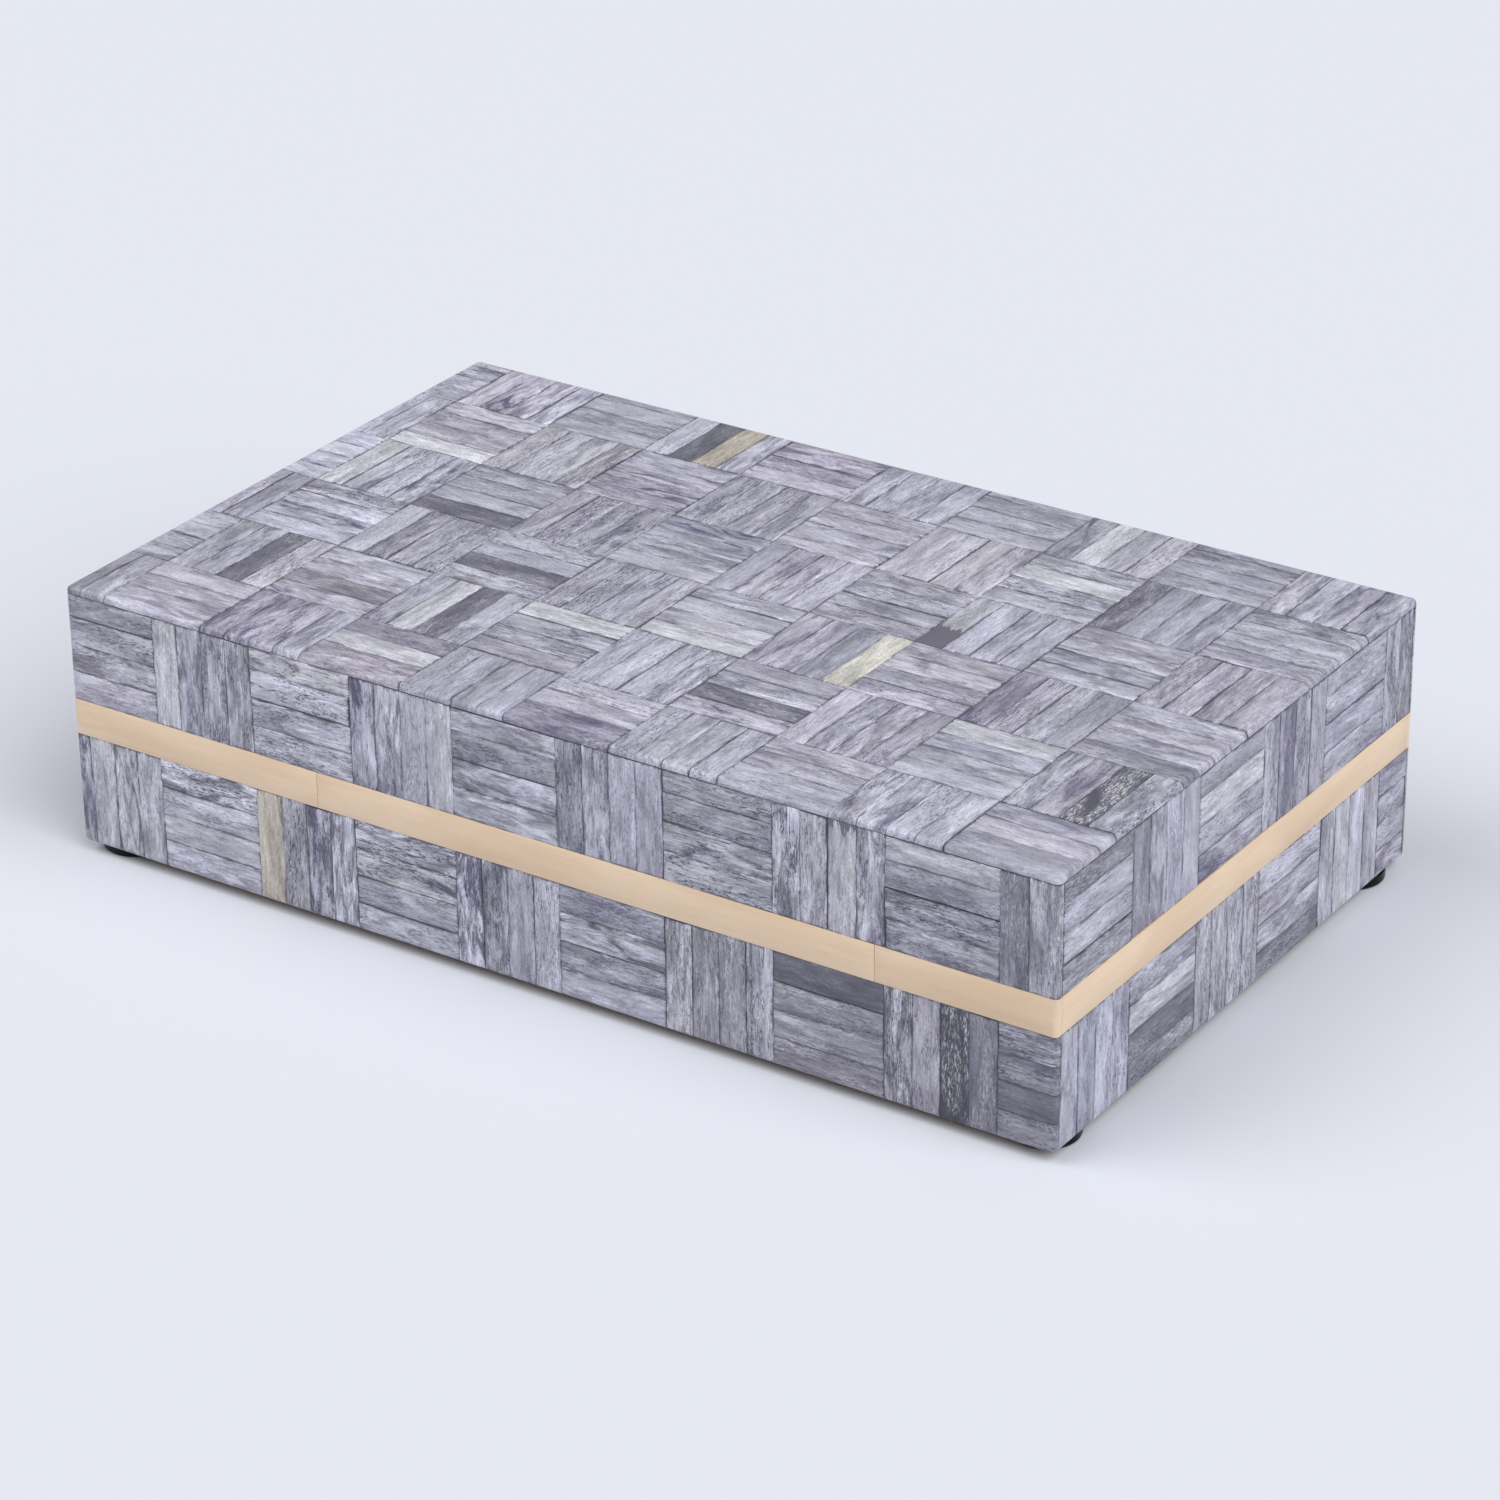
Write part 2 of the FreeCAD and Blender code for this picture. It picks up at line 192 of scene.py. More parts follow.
def bone_material():
    """Dyed bone: a solid grain that runs along each strip, with pores, flecks and stains.

    The strips carry grain (millimetres along, across and into the strip), tint (with the
    depth of its shading as alpha), look (stain, pores, flecks) and edge (millimetres from
    the joints on both axes, and past the reach of a filled chip at the strip's end).
    """
    g = Graph("dyed_bone")
    grain = g.attribute("grain")
    tint = g.attribute("tint", "Color")
    stain, pore, fleck = g.split(g.attribute("look"))
    joint_u, joint_v, chip = g.split(g.attribute("edge"))
    depth = g.attribute("tint", "Alpha")
    rim = g.math("MINIMUM", joint_u, joint_v)

    cloud = g.noise(grain, (0.05, 0.17, 0.1), 3.0, 0.55, 0.8, (3.0, 11.0, 5.0))
    patch = g.noise(grain, (0.075, 0.26, 0.2), 5.0, 0.66, 0.9, (31.0, 5.0, 9.0))
    fibre = g.noise(grain, (0.22, 1.5, 1.1), 7.0, 0.70, 0.6)
    fine = g.noise(grain, (1.3, 3.4, 2.6), 5.0, 0.7, 0.3, (7.0, 3.0, 1.0))
    grit = g.noise(grain, (0.75, 3.1, 2.2), 6.0, 0.74, 0.8, (13.0, 17.0, 2.0))
    speck = g.noise(grain, (0.70, 2.6, 1.9), 6.0, 0.76, 0.6, (51.0, 23.0, 8.0))
    smoke = g.noise(grain, (0.075, 0.32, 0.2), 6.0, 0.68, 1.3, (17.0, 29.0, 4.0))
    crack = g.noise(grain, (0.035, 0.95, 0.5), 3.0, 0.5, 0.5, (5.0, 41.0, 3.0))

    shade = g.math("MULTIPLY", g.spread(cloud, 0.32, 0.68, 0.82, 1.15),
                   g.spread(fibre, 0.28, 0.72, 0.76, 1.22))
    shade = g.math("MULTIPLY", shade, g.spread(fine, 0.32, 0.68, 0.84, 1.15))
    swing = g.math("MULTIPLY", g.spread(smoke, 0.35, 0.65, -0.50, 0.30), depth)
    shade = g.math("MULTIPLY", shade, g.math("ADD", swing, 1.0))
    colour = g.shade(tint, shade)

    # Dye that has sunk in: blue-violet and darker, in long smears.
    dye = g.math("MULTIPLY", g.spread(patch, 0.46, 0.74), stain, clamp=True)
    colour = g.mix(dye, colour, (0.100, 0.095, 0.170))
    # Chalky flecks and open pores, each gathered in its own patches.
    chalk = g.math("MULTIPLY", g.spread(speck, 0.47, 0.64), g.spread(cloud, 0.40, 0.62))
    chalk = g.math("MULTIPLY", chalk, fleck, clamp=True)
    colour = g.mix(chalk, colour, (0.62, 0.62, 0.655))
    hole = g.math("MULTIPLY", g.spread(grit, 0.48, 0.60), g.spread(patch, 0.38, 0.58))
    hole = g.math("MULTIPLY", hole, pore, clamp=True)
    colour = g.mix(hole, colour, (0.070, 0.066, 0.10))
    # Hairline cracks along the grain.
    ridge = g.math("ABSOLUTE", g.math("SUBTRACT", crack, 0.5))
    line = g.math("MULTIPLY", g.spread(ridge, 0.004, 0.024, 0.8, 0.0), g.spread(fibre, 0.40, 0.56))
    line = g.math("MULTIPLY", line, pore, clamp=True)
    colour = g.mix(line, colour, (0.09, 0.088, 0.12))
    # Filler rubbed into the edge of the strip, here and there.
    ragged_rim = g.math("MULTIPLY_ADD", g.math("SUBTRACT", grit, 0.5), 2.2, rim)
    smear = g.math("MULTIPLY", g.spread(ragged_rim, 0.0, 0.45, 0.85, 0.0),
                   g.spread(smoke, 0.42, 0.58, 1.0, 0.0))
    colour = g.mix(smear, colour, (0.065, 0.062, 0.085))
    # Chips filled flat with dark filler.
    ragged = g.math("MULTIPLY_ADD", g.math("SUBTRACT", smoke, 0.5), 12.0, chip)
    ragged = g.math("MULTIPLY_ADD", g.math("SUBTRACT", fibre, 0.5), 4.0, ragged)
    filled = g.spread(ragged, -0.3, 0.3, 1.0, 0.0)
    colour = g.mix(filled, colour, (0.125, 0.122, 0.155))

    rough = g.math("MULTIPLY_ADD", hole, 0.25, g.spread(fibre, 0.3, 0.7, 0.46, 0.58))
    height = g.math("MULTIPLY_ADD", hole, -0.8, g.math("MULTIPLY", fibre, 0.5))
    height = g.math("MULTIPLY_ADD", fine, 0.25, height)
    normal = g.bump(height, 0.35, 0.12 * MM)
    return g.finish(Base_Color=colour, Roughness=rough, Normal=normal)


def filler_material():
    g = Graph("dark_filler")
    place = object_space(g)
    grit = g.noise(place, (900, 900, 900), 4.0, 0.6)
    colour = g.mix(g.spread(grit, 0.35, 0.65), (0.035, 0.035, 0.047), (0.10, 0.10, 0.125))
    return g.finish(Base_Color=colour, Roughness=0.75, Normal=g.bump(grit, 0.4, 0.1 * MM))


def wood_material(name, pale, dark, figure):
    """Pale wood whose grain runs along the first axis of the grain attribute."""
    g = Graph(name)
    grain = g.attribute("grain")
    ring = g.noise(grain, (0.012, 0.24, 0.12), 3.0, 0.5, 0.8, (4.0, 2.0, 6.0))
    wave = g.math("SINE", g.math("MULTIPLY", ring, 34.0))
    fine = g.noise(grain, (0.05, 4.0, 2.0), 5.0, 0.65, 0.1)
    pores = g.noise(grain, (0.30, 6.0, 4.0), 3.0, 0.6, 0.0, (9.0, 9.0, 1.0))
    blotch = g.noise(grain, (0.03, 0.10, 0.1), 3.0, 0.5, 0.5, (21.0, 2.0, 1.0))
    figure_fac = g.math("MULTIPLY_ADD", wave, 0.14 * figure, g.spread(blotch, 0.3, 0.7, 0.05, 0.75))
    colour = g.mix(figure_fac, pale, dark)
    colour = g.shade(colour, g.spread(fine, 0.3, 0.7, 0.96, 1.03))
    colour = g.mix(1.0, colour, g.attribute("tint", "Color"), "MULTIPLY")
    colour = g.mix(g.spread(pores, 0.62, 0.75, 0.0, 0.35), colour, tuple(0.6 * c for c in dark))
    rough = g.spread(fine, 0.3, 0.7, 0.42, 0.58)
    return g.finish(Base_Color=colour, Roughness=rough, Normal=g.bump(fine, 0.15, 0.08 * MM))


def board_material():
    """Carcass wood: the grain runs along each board, read from its place in the box."""
    g = Graph("carcass_wood")
    place = g.scale(object_space(g), (1000, 1000, 1000))
    ring = g.noise(place, (0.012, 0.10, 0.24), 3.0, 0.5, 0.8)
    wave = g.math("SINE", g.math("MULTIPLY", ring, 30.0))
    fine = g.noise(place, (0.08, 1.6, 3.0), 5.0, 0.65)
    fac = g.math("MULTIPLY_ADD", wave, 0.2, g.spread(fine, 0.3, 0.7, 0.25, 0.65))
    colour = g.mix(fac, (0.60, 0.45, 0.29), (0.42, 0.29, 0.17))
    return g.finish(Base_Color=colour, Roughness=g.spread(fine, 0.3, 0.7, 0.5, 0.68),
                    Normal=g.bump(fine, 0.25, 0.1 * MM))


def velvet_material():
    g = Graph("charcoal_velvet")
    place = object_space(g)
    nap = g.noise(place, (2600, 2600, 2600), 3.0, 0.6)
    brushed = g.noise(place, (60, 90, 70), 3.0, 0.55, 0.8)
    colour = g.mix(g.spread(brushed, 0.35, 0.65), (0.016, 0.016, 0.021), (0.040, 0.040, 0.050))
    colour = g.shade(colour, g.spread(nap, 0.3, 0.7, 0.7, 1.3))
    return g.finish(Base_Color=colour, Roughness=0.95, Sheen_Weight=0.6, Sheen_Roughness=0.4,
                    Sheen_Tint=(0.5, 0.5, 0.6, 1.0), Normal=g.bump(nap, 0.6, 0.15 * MM))


def brass_material(name, bright, dull):
    g = Graph(name)
    place = object_space(g)
    brushed = g.noise(place, (300, 4000, 4000), 4.0, 0.6)
    tarnish = g.noise(place, (160, 160, 160), 4.0, 0.6, 0.5)
    colour = g.mix(g.spread(tarnish, 0.45, 0.70), bright, dull)
    rough = g.math("ADD", g.spread(brushed, 0.3, 0.7, 0.26, 0.38), g.spread(tarnish, 0.45, 0.7, 0.0, 0.2))
    return g.finish(Base_Color=colour, Metallic=1.0, Roughness=rough,
                    Normal=g.bump(brushed, 0.15, 0.05 * MM))


def rubber_material():
    g = Graph("black_rubber")
    place = object_space(g)
    dust = g.noise(place, (250, 250, 250), 4.0, 0.6)
    colour = g.mix(g.spread(dust, 0.45, 0.75), (0.003, 0.003, 0.003), (0.009, 0.009, 0.010))
    return g.finish(Base_Color=colour, Roughness=g.spread(dust, 0.3, 0.7, 0.16, 0.34),
                    Specular_IOR_Level=0.15,
                    Normal=g.bump(dust, 0.1, 0.1 * MM))


# ------------------------------------------------------------- slab geometry

def within(point, low, high, round_low_z, round_high_z):
    """Pull a point in to the rounded outside form of the base or the lid."""
    inner = Vector(point)
    for axis in (0, 1):
        inner[axis] = min(max(point[axis], low[axis] + CORNER), high[axis] - CORNER)
    if round_low_z:
        inner.z = max(point.z, low.z + CORNER)
    if round_high_z:
        inner.z = min(inner.z, high.z - CORNER)
    out = point - inner
    if out.length > CORNER:
        return inner + out * (CORNER / out.length)
    return point


def lines(length, low_outer, high_outer):
    """Places of the mesh lines across a slab: close together at its edges."""
    arc = [CORNER * (1 - math.cos(math.radians(a))) for a in (0, 18, 36, 54, 72, 90)]
    joint = [0.0, 0.35 * EASE, EASE]
    low = arc if low_outer else joint
    high = arc if high_outer else joint
    middle_low, middle_high = low[-1], length - high[-1]
    count = 2 * max(1, round((middle_high - middle_low) / (2 * MESH_STEP)))
    middle = [middle_low + (middle_high - middle_low) * i / count for i in range(1, count)]
    return low + middle + [length - d for d in reversed(high)]


class Shell:
    """The outside box of the base or the lid, and which of its ends is rounded."""

    def __init__(self, nodes, round_low_z, round_high_z):
        boxes = [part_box(n) for n in nodes]
        self.low = Vector([min(b[0][i] for b in boxes) for i in range(3)])
        self.high = Vector([max(b[1][i] for b in boxes) for i in range(3)])
        self.round_low_z = round_low_z
        self.round_high_z = round_high_z

    def pull(self, point):
        return within(point, self.low, self.high, self.round_low_z, self.round_high_z)

    def outer(self, axis, value, high_side):
        """True where a slab's side lies on a rounded outside face."""
        if axis == 2 and not (self.round_high_z if high_side else self.round_low_z):
            return False
        limit = self.high[axis] if high_side else self.low[axis]
        return abs(value - limit) < SAME_PLACE


def slab(bm, layers, low, high, face, shell, slack, grain, values):
    """A thin closed piece on one face of the box, its outside face eased and its corners uneven.

    face is (u axis, v axis, normal axis, outward sign). slack gives, for the four corners,
    how far each is pushed out along u and v. grain is (axis along the grain, offset).
    values hold the strip's tint and look, and the reach of its filled chip, if any.
    """
    u_axis, v_axis, n_axis, sign = face
    size_u, size_v = high[u_axis] - low[u_axis], high[v_axis] - low[v_axis]
    outer = [shell.outer(u_axis, low[u_axis], False), shell.outer(u_axis, high[u_axis], True),
             shell.outer(v_axis, low[v_axis], False), shell.outer(v_axis, high[v_axis], True)]
    us = lines(size_u, outer[0], outer[1])
    vs = lines(size_v, outer[2], outer[3])
    thick = high[n_axis] - low[n_axis]
    face_level = high[n_axis] if sign > 0 else low[n_axis]
    depths = [thick]
    if any(outer):
        depths = [thick * i / 5 for i in range(1, 6)]
    grain_axis, offset = grain
    cross_axis = v_axis if grain_axis == u_axis else u_axis

    def place(i, j, depth):
        """A vertex at mesh line i, j, that far below the face."""
        u, v = us[i], vs[j]
        s, t = u / size_u, v / size_v
        ring_u = min(i, len(us) - 1 - i)
        ring_v = min(j, len(vs) - 1 - j)
        low_u, low_v = i < len(us) / 2, j < len(vs) / 2
        u_is_outer = outer[0] if low_u else outer[1]
        v_is_outer = outer[2] if low_v else outer[3]
        drop = 0.0
        if not u_is_outer and ring_u < 2:
            drop = max(drop, EASE_DROPS[ring_u] * EASE)
        if not v_is_outer and ring_v < 2:
            drop = max(drop, EASE_DROPS[ring_v] * EASE)
        weights = ((1 - s) * (1 - t), s * (1 - t), (1 - s) * t, s * t)
        du = sum(w * corner[0] for w, corner in zip(weights, slack))
        dv = sum(w * corner[1] for w, corner in zip(weights, slack))
        p = Vector((0, 0, 0))
        p[u_axis] = low[u_axis] + u + du
        p[v_axis] = low[v_axis] + v + dv
        p[n_axis] = face_level - sign * max(depth, drop)
        p = shell.pull(p)
        vert = bm.verts.new(p)
        rel = p - low
        joint_u = NO_JOINT if u_is_outer else (u if low_u else size_u - u) / MM
        joint_v = NO_JOINT if v_is_outer else (v if low_v else size_v - v) / MM
        vert[layers["grain"]] = Vector((rel[grain_axis], rel[cross_axis], rel[n_axis])) / MM + offset
        vert[layers["tint"]] = values["tint"]
        vert[layers["look"]] = values["look"]
        from_end = rel[grain_axis] / MM
        if values["chip"] < 0:
            from_end = (high[grain_axis] - low[grain_axis]) / MM - from_end
        chip = from_end - abs(values["chip"]) if values["chip"] else NO_CHIP
        vert[layers["edge"]] = Vector((joint_u, joint_v, chip))
        return vert

    top = [[place(i, j, 0.0) for j in range(len(vs))] for i in range(len(us))]
    ring = ([(i, 0) for i in range(len(us) - 1)] + [(len(us) - 1, j) for j in range(len(vs) - 1)]
            + [(i, len(vs) - 1) for i in range(len(us) - 1, 0, -1)]
            + [(0, j) for j in range(len(vs) - 1, 0, -1)])
    rings = [[top[i][j] for i, j in ring]]
    for depth in depths:
        rings.append([place(i, j, depth) for i, j in ring])
    made = []
    for i in range(len(us) - 1):
        for j in range(len(vs) - 1):
            made.append(bm.faces.new((top[i][j], top[i + 1][j], top[i + 1][j + 1], top[i][j + 1])))
    for above, below in zip(rings, rings[1:]):
        for k in range(len(ring)):
            n = (k + 1) % len(ring)
            made.append(bm.faces.new((above[n], above[k], below[k], below[n])))
    made.append(bm.faces.new(list(reversed(rings[-1]))))
    along_u, along_v, outward = Vector((0, 0, 0)), Vector((0, 0, 0)), Vector((0, 0, 0))
    along_u[u_axis] = 1.0
    along_v[v_axis] = 1.0
    outward[n_axis] = sign
    if along_u.cross(along_v).dot(outward) < 0:
        bmesh.ops.reverse_faces(bm, faces=made)
    for polygon in made:
        polygon.smooth = True


def new_layers(bm):
    verts = bm.verts.layers
    return {"grain": verts.float_vector.new("grain"), "tint": verts.float_color.new("tint"),
            "look": verts.float_vector.new("look"), "edge": verts.float_vector.new("edge")}


def seat_cutter(part):
    """Blocks where the hinge leaves are let in to the back of the base or the lid."""
    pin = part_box("hinge_left_pin")
    level = (pin[0].z + pin[1].z) / 2
    z_low, z_high = (level - LEAF, level + MM) if part == "base" else (level - MM, level + LEAF)
    bm = bmesh.new()
    for side in ("left", "right"):
        low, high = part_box("hinge_" + side + "_" + part + "_leaf")
        low = Vector((low.x - SEAT_EASE, SEAT_INSIDE, z_low))
        high = Vector((high.x + SEAT_EASE, SEAT_OUTSIDE, z_high))
        matrix = Matrix.Translation((low + high) / 2) @ Matrix.Diagonal((high - low).to_4d())
        bmesh.ops.create_cube(bm, size=1.0, matrix=matrix)
    mesh = bpy.data.meshes.new("seats")
    bm.to_mesh(mesh)
    bm.free()
    cutter = bpy.data.objects.new("seats", mesh)
    bpy.context.scene.collection.objects.link(cutter)
    return cutter


def marks(bm):
    """The four vertex layers of an inlaid piece."""
    verts = bm.verts.layers
    return [verts.float_vector["grain"], verts.float_color["tint"],
            verts.float_vector["look"], verts.float_vector["edge"]]


def carry_marks(before, mesh):
    """Give the corners that a cut has made the marks of the surface they lie on."""
    before.faces.ensure_lookup_table()
    tree = BVHTree.FromBMesh(before)
    after = bmesh.new()
    after.from_mesh(mesh)
    for vert in after.verts:
        place, _, index, _ = tree.find_nearest(vert.co)
        corners = before.faces[index].verts
        if min((corner.co - vert.co).length for corner in corners) < 0.001 * MM:
            continue
        weights = poly_3d_calc([corner.co for corner in corners], place)
        for old, new in zip(marks(before), marks(after)):
            mixed = corners[0][old] * 0.0
            for corner, weight in zip(corners, weights):
                mixed = mixed + corner[old] * weight
            vert[new] = mixed
    after.to_mesh(mesh)
    after.free()


def let_in(piece, part):
    """Cut the seats of the hinge leaves out of a piece."""
    before = bmesh.new()
    before.from_mesh(piece.data)
    cutter = seat_cutter(part)
    cut = piece.modifiers.new("seats", "BOOLEAN")
    cut.operation = "DIFFERENCE"
    cut.solver = "EXACT"
    cut.object = cutter
    depsgraph = bpy.context.evaluated_depsgraph_get()
    mesh = bpy.data.meshes.new_from_object(piece.evaluated_get(depsgraph))
    piece.modifiers.clear()
    carry_marks(before, mesh)
    before.free()
    piece.data = mesh
    bpy.data.objects.remove(cutter)


def finish_piece(bm, name, material, body, slot, *nodes, seats=False):
    mesh = bpy.data.meshes.new(name)
    bm.to_mesh(mesh)
    bm.free()
    mesh.materials.append(material)
    piece = bpy.data.objects.new(name, mesh)
    bpy.context.scene.collection.objects.link(piece)
    if seats:
        let_in(piece, body)
    piece.data.set_sharp_from_angle(angle=math.radians(50))
    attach(piece, body)
    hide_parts(*nodes)
    return piece


# ---------------------------------------------------------------------- bone

FACES = {"top": (0, 1, 2, 1), "front": (0, 2, 1, -1), "back": (0, 2, 1, 1),
         "right": (1, 2, 0, 1), "left": (1, 2, 0, -1)}

# Tints of single strips, as linear colours, with their stain, pores and flecks.
TINTS = {
    "cream": ((0.58, 0.57, 0.52), (0.0, 0.3, 0.3)),
    "tan": ((0.42, 0.38, 0.33), (0.0, 0.4, 0.2)),
    "white": ((0.53, 0.53, 0.59), (0.0, 0.5, 0.7)),
    "pale": ((0.465, 0.463, 0.525), (0.1, 0.5, 0.6)),
    "dark": ((0.19, 0.185, 0.235), (0.5, 0.9, 0.6)),
    "slate": ((0.13, 0.13, 0.165), (0.5, 0.5, 0.2)),
    "charred": ((0.05, 0.049, 0.07), (0.3, 0.8, 0.9)),
    "salted": ((0.10, 0.10, 0.13), (0.2, 0.6, 1.6)),
    "blue": ((0.31, 0.322, 0.39), (0.6, 0.5, 0.3)),
    "navy": ((0.34, 0.335, 0.42), (3.0, 0.4, 0.3)),
    "mottled": ((0.52, 0.51, 0.57), (1.8, 1.3, 1.0)),
    "violet": ((0.27, 0.255, 0.345), (1.2, 0.8, 0.5)),
}

# The strips that stand out to the eye: face node, place along the face and up or back on it
# in millimetres from the face's low corner, the tint, and the reach of a filled chip from
# the strip's low end, or from its high end where it is negative. All others are random.
ACCENTS = [
    ("lid_top", 83, 143, "tan"), ("lid_top", 76, 143, "slate"), ("lid_top", 184, 143, "white"),
    ("lid_top", 25, 106, "white"), ("lid_top", 186, 120, "white"), ("lid_top", 203, 117, "dark"),
    ("lid_top", 15, 90, "white"), ("lid_top", 105, 100, "navy"), ("lid_top", 175, 90, "pale", 9.0),
    ("lid_top", 51, 80, "dark"), ("lid_top", 78, 59, "dark"), ("lid_top", 130, 52, "white"),
    ("lid_top", 161, 62, "blue"), ("lid_top", 168, 62, "cream"), ("lid_top", 201, 62, "violet"),
    ("lid_top", 27, 35, "dark"), ("lid_top", 73, 35, "pale"), ("lid_top", 80, 35, "dark"),
    ("lid_top", 104, 46, "white"), ("lid_top", 158, 32, "dark"), ("lid_top", 212, 45, "pale"),
    ("lid_top", 243, 35, "salted"), ("lid_top", 76, 12, "white"), ("lid_top", 130, 5, "violet"),
    ("lid_front", 27, 12, "white"), ("lid_front", 64, 23, "mottled"), ("lid_front", 102, 12, "pale"),
    # The pale lid_front strip at 203 gets a dark band 0.8 mm deep at its top end, just under the lid's top
    # edge.
    ("lid_front", 203, 12, "pale", -0.8), ("lid_front", 228, 23, "pale"), ("lid_front", 244, 12, "dark"),
    ("base_front", 55, 12, "tan"), ("base_front", 92, 17, "mottled"), ("base_front", 7, 12, "pale"),
    ("base_front", 38, 10, "pale"), ("base_front", 200, 23, "slate"), ("base_front", 231, 12, "charred"),
    ("base_front", 237, 12, "dark"), ("base_front", 247, 10, "slate"),
    ("lid_right", 69, 17, "white"), ("lid_right", 93, 12, "violet"),
    ("base_right", 41, 10, "dark"), ("base_right", 41, 17, "pale"), ("base_right", 120, 12, "pale"),
    ("base_right", 96, 5, "dark"),
]


def strip_boxes(node):
    """The box of every separate strip of a CAD node, in a fixed order."""
    bm = bmesh.new()
    bm.from_mesh(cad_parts[node].data)
    bmesh.ops.remove_doubles(bm, verts=bm.verts, dist=0.01 * MM)
    seen = set()
    boxes = []
    for start in bm.verts:
        if start.index in seen:
            continue
        seen.add(start.index)
        stack, points = [start], []
        while stack:
            vert = stack.pop()
            points.append(vert.co.copy())
            for edge in vert.link_edges:
                other = edge.other_vert(vert)
                if other.index not in seen:
                    seen.add(other.index)
                    stack.append(other)
        boxes.append((Vector([min(p[i] for p in points) for i in range(3)]),
                      Vector([max(p[i] for p in points) for i in range(3)])))
    bm.free()
    return sorted(boxes, key=lambda b: [round(c / (0.2 * MM)) for c in b[0]])


def blocks(boxes, u_axis, v_axis):
    """Group the strips of one face into the blocks of the weave: lists of strip numbers."""
    groups = []
    for number, (low, high) in enumerate(boxes):
        size = high - low
        along, across = (u_axis, v_axis) if size[u_axis] > size[v_axis] else (v_axis, u_axis)
        for group in groups:
            near = [boxes[other] for other in group["strips"]]
            same_ends = all(abs(b[i][along] - (low, high)[i][along]) < 0.3 * MM
                            for b in near for i in (0, 1))
            touch = any(abs(b[1][across] - low[across]) < 0.6 * MM
                        or abs(high[across] - b[0][across]) < 0.6 * MM for b in near)
            if group["along"] == along and same_ends and touch:
                group["strips"].append(number)
                break
        else:
            groups.append({"along": along, "across": across, "strips": [number]})
    return groups


# How light a face's strips are on the whole, how much they differ, and a painted light falloff:
# how much lighter they get towards the far end of the face (darker there where it is negative).
FACE_TONE_AND_PAINTED_LIGHT = {"lid_top": (1.08, 1.0, -0.10), "lid_front": (1.03, 1.3, -0.22), "base_front": (0.96, 1.7, -0.40),
        "lid_right": (1.04, 1.0, 0.05), "base_right": (1.12, 1.2, 0.0)}


def block_tone(rng, tone_and_painted_light):
    level = 0.41 * tone_and_painted_light[0] * math.exp(rng.gauss(0.0, 0.07 * tone_and_painted_light[1]))
    return level, rng.gauss(0.0, 0.009), rng.gauss(0.0, 0.007), rng.uniform(0.1, 1.0), rng.uniform(0.0, 1.0)


def strip_values(rng, tone_and_painted_light, tone, accent, station):
    """Tint and look of one strip; the strips of a block are cut from the same bone.

    station is where the strip lies along its face, from 0 to 1; it sets the painted light falloff.
    """
    if accent:
        tint, look = TINTS[accent[0]]
        lift = rng.uniform(1.0, 1.1)
        return {"tint": tuple(c * lift for c in tint) + (0.5,), "look": look,
                "chip": accent[1] if len(accent) > 1 else 0}
    level, cool, violet, pores, flecks = tone
    # Painted light: the strips get lighter or darker along the face as the light falls off across it.
    level *= 1.0 + tone_and_painted_light[2] * (station - 0.5)
    if rng.random() < 0.15 * tone_and_painted_light[1]:
        level *= math.exp(-abs(rng.gauss(0.0, 0.30)) if rng.random() < 0.65 else rng.uniform(0.08, 0.24))
    else:
        level *= math.exp(rng.gauss(0.0, 0.06) * tone_and_painted_light[1])
    cool += rng.gauss(0.0, 0.009)
    violet += rng.gauss(0.0, 0.005)
    tint = (level * (1.0 - cool), level * (0.985 - violet), level * (1.195 + cool + violet),
            rng.uniform(0.1, 0.9) * tone_and_painted_light[1])
    stain = max(0.0, rng.gauss(0.35, 0.55) * tone_and_painted_light[1])
    pore = (0.6 * pores + rng.uniform(0.1, 0.6)) * tone_and_painted_light[1]
    return {"tint": tint, "look": (stain, pore, 0.6 * flecks + rng.uniform(0.0, 0.5)), "chip": 0}


def side_push(rng, inner):
    """How far one side of a strip is grown into its joint, as a share of half the gap."""
    pick = rng.random()
    if pick < 0.06:
        return -rng.uniform(0.2, 1.2)
    if pick < (0.62 if inner else 0.42):
        return rng.uniform(0.93, 1.0)
    return rng.uniform(0.1, 0.9)


def corner_slack(rng, outer, along_u, first, last):
    """Where the four corners of a strip lie: joints run from open to all but closed."""
    inner = [not first, not last]
    sides = []
    for k in range(4):
        across = (k >= 2) == along_u
        sides.append(side_push(rng, across and inner[k % 2]))
    corners = []
    for v_high in (False, True):
        for u_high in (False, True):
            u_side, v_side = (1 if u_high else 0), (3 if v_high else 2)
            du = min(1.0, sides[u_side] + rng.gauss(0.0, 0.12)) * JOINT_HALF * (1 if u_high else -1)
            dv = min(1.0, sides[v_side] + rng.gauss(0.0, 0.12)) * JOINT_HALF * (1 if v_high else -1)
            corners.append((0.0 if outer[u_side] else du, 0.0 if outer[v_side] else dv))
    return corners


